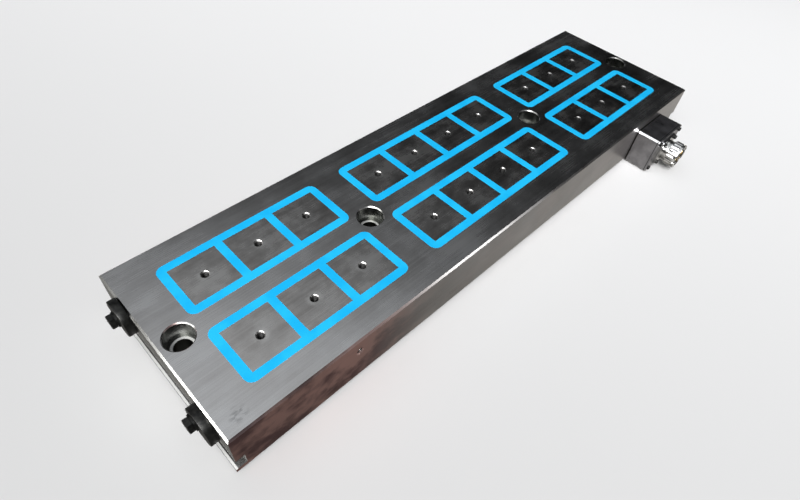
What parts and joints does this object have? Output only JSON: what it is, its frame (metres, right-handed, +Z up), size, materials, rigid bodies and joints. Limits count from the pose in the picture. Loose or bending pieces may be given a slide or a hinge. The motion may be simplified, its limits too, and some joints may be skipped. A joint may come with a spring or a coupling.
{
  "type": "electro-permanent magnetic chuck",
  "caption": "Long flat electro-permanent magnetic chuck: steel body, rows of square poles framed in blue resin, counterbored bolt holes, turning end stops and a side junction box.",
  "frame": {"origin": "centre of the base plate's flat underside", "axes": "+X along the chuck's length to the end without stops, +Y to the long side without the junction box, +Z up out of the work face"},
  "size_m": [0.7801, 0.269, 0.0696],
  "materials": {
    "body_steel": "ground",
    "plate_steel": "milled",
    "pole_steel": "ground",
    "blue_resin": "ground flush",
    "alnico": "as cast",
    "copper_winding": "enamelled",
    "plated_magnet": "nickel plated",
    "black_oxide": "black oxide",
    "box_steel": "milled",
    "gasket_rubber": "matte",
    "connector_plating": "nickel plated",
    "insert_plastic": "matte",
    "pin_brass": "gold plated"
  },
  "bodies": {
    "chuck": {"body": "body_steel", "base_plate": "plate_steel", "pole_front_01": "pole_steel", "pole_front_02": "pole_steel", "pole_front_03": "pole_steel", "pole_front_04": "pole_steel", "pole_front_05": "pole_steel", "pole_front_06": "pole_steel", "pole_front_07": "pole_steel", "pole_front_08": "pole_steel", "pole_front_09": "pole_steel", "pole_front_10": "pole_steel", "pole_back_01": "pole_steel", "pole_back_02": "pole_steel", "pole_back_03": "pole_steel", "pole_back_04": "pole_steel", "pole_back_05": "pole_steel", "pole_back_06": "pole_steel", "pole_back_07": "pole_steel", "pole_back_08": "pole_steel", "pole_back_09": "pole_steel", "pole_back_10": "pole_steel", "resin_front_1": "blue_resin", "resin_front_2": "blue_resin", "resin_front_3": "blue_resin", "resin_back_1": "blue_resin", "resin_back_2": "blue_resin", "resin_back_3": "blue_resin", "alnico_cores_front": "alnico", "coils_front": "copper_winding", "side_magnets_front": "plated_magnet", "alnico_cores_back": "alnico", "coils_back": "copper_winding", "side_magnets_back": "plated_magnet", "stop_washers": "black_oxide", "stop_bolts": "black_oxide", "junction_box": "box_steel", "box_gasket": "gasket_rubber", "box_cover": "box_steel", "connector_shell": "connector_plating", "connector_insert": "insert_plastic", "connector_pins": "pin_brass"},
    "stop_front": {"stop_disc_front": "black_oxide"},
    "stop_back": {"stop_disc_back": "black_oxide"}
  },
  "joints": [
    {"name": "stop_front_turn", "type": "hinge", "parent": "chuck", "child": "stop_front", "pos_m": [-0.3856, -0.065, 0.047], "axis": [1, 0, 0], "continuous": true},
    {"name": "stop_back_turn", "type": "hinge", "parent": "chuck", "child": "stop_back", "pos_m": [-0.3856, 0.065, 0.047], "axis": [1, 0, 0], "continuous": true}
  ]
}
